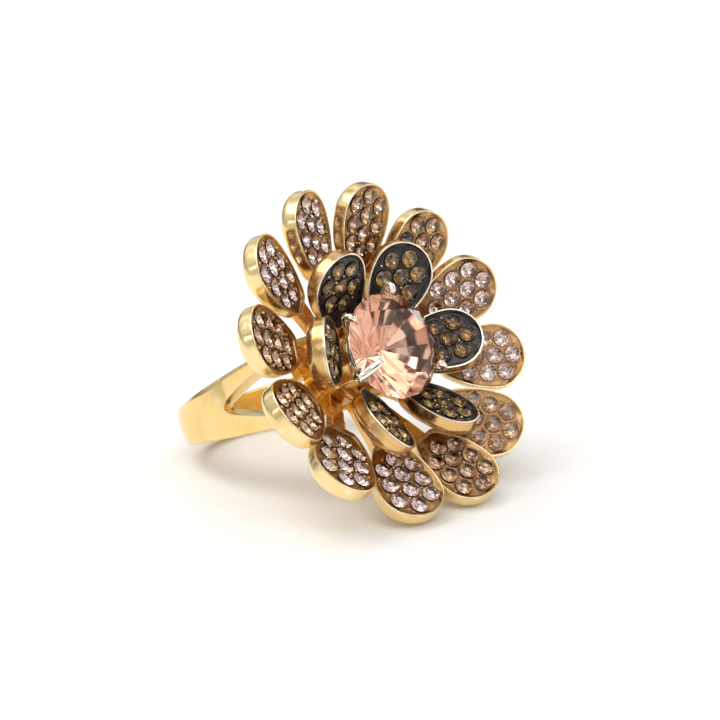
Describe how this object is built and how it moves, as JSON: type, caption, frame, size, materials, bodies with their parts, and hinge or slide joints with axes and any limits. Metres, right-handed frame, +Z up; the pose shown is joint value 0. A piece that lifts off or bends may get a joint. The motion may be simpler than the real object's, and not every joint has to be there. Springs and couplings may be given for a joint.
{
  "type": "cocktail ring",
  "caption": "Flower-headed cocktail ring: two tiers of pave-set petal cups around a claw-set round stone, on a split-shoulder finger band.",
  "frame": {"origin": "on the surface the ring lies on, at the centre of its bounding box: it lies on its two lowest outer petals and the back edge of the shank, as when set down on a table", "axes": "+Z up; +X across the finger; the flower faces -Y and upwards, its axis 27.17 degrees above the floor; the finger hole's axis leans 27.17 degrees from +Z towards +Y"},
  "size_m": [0.0312, 0.0346, 0.0284],
  "materials": {
    "gold_plate": "polished light yellow gold plate",
    "pale_gold_plate": "polished, plating worn paler on the thin rims",
    "gold_bed": "textured gold bed between the stones, darkened",
    "black_bed": "glossy black enamel bed",
    "champagne_stones": "faceted champagne-tan glass",
    "rose_stones": "faceted pale rose glass",
    "smoky_stones": "faceted smoky brown glass",
    "peach_stone": "faceted peach-pink glass"
  },
  "bodies": {
    "root": {"shank": "gold_plate", "outer_hub": "gold_plate", "inner_hub": "gold_plate", "centre_setting": "pale_gold_plate", "centre_stone": "peach_stone", "outer_petal_01": "gold_plate", "outer_petal_02": "gold_plate", "outer_petal_03": "gold_plate", "outer_petal_04": "gold_plate", "outer_petal_05": "gold_plate", "outer_petal_06": "gold_plate", "outer_petal_07": "gold_plate", "outer_petal_08": "gold_plate", "outer_petal_09": "gold_plate", "outer_petal_10": "gold_plate", "outer_petal_11": "gold_plate", "outer_petal_12": "gold_plate", "outer_bed_01": "gold_bed", "outer_bed_02": "gold_bed", "outer_bed_03": "gold_bed", "outer_bed_04": "gold_bed", "outer_bed_05": "gold_bed", "outer_bed_06": "gold_bed", "outer_bed_07": "gold_bed", "outer_bed_08": "gold_bed", "outer_bed_09": "gold_bed", "outer_bed_10": "gold_bed", "outer_bed_11": "gold_bed", "outer_bed_12": "gold_bed", "outer_stones_01": "rose_stones", "outer_stones_02": "champagne_stones", "outer_stones_03": "champagne_stones", "outer_stones_04": "rose_stones", "outer_stones_05": "rose_stones", "outer_stones_06": "champagne_stones", "outer_stones_07": "champagne_stones", "outer_stones_08": "rose_stones", "outer_stones_09": "rose_stones", "outer_stones_10": "champagne_stones", "outer_stones_11": "champagne_stones", "outer_stones_12": "rose_stones", "inner_petal_01": "pale_gold_plate", "inner_petal_02": "pale_gold_plate", "inner_petal_03": "pale_gold_plate", "inner_petal_04": "pale_gold_plate", "inner_petal_05": "pale_gold_plate", "inner_petal_06": "pale_gold_plate", "inner_bed_01": "black_bed", "inner_bed_02": "black_bed", "inner_bed_03": "black_bed", "inner_bed_04": "black_bed", "inner_bed_05": "black_bed", "inner_bed_06": "black_bed", "inner_stones_01": "smoky_stones", "inner_stones_02": "smoky_stones", "inner_stones_03": "smoky_stones", "inner_stones_04": "smoky_stones", "inner_stones_05": "smoky_stones", "inner_stones_06": "smoky_stones"}
  },
  "joints": []
}
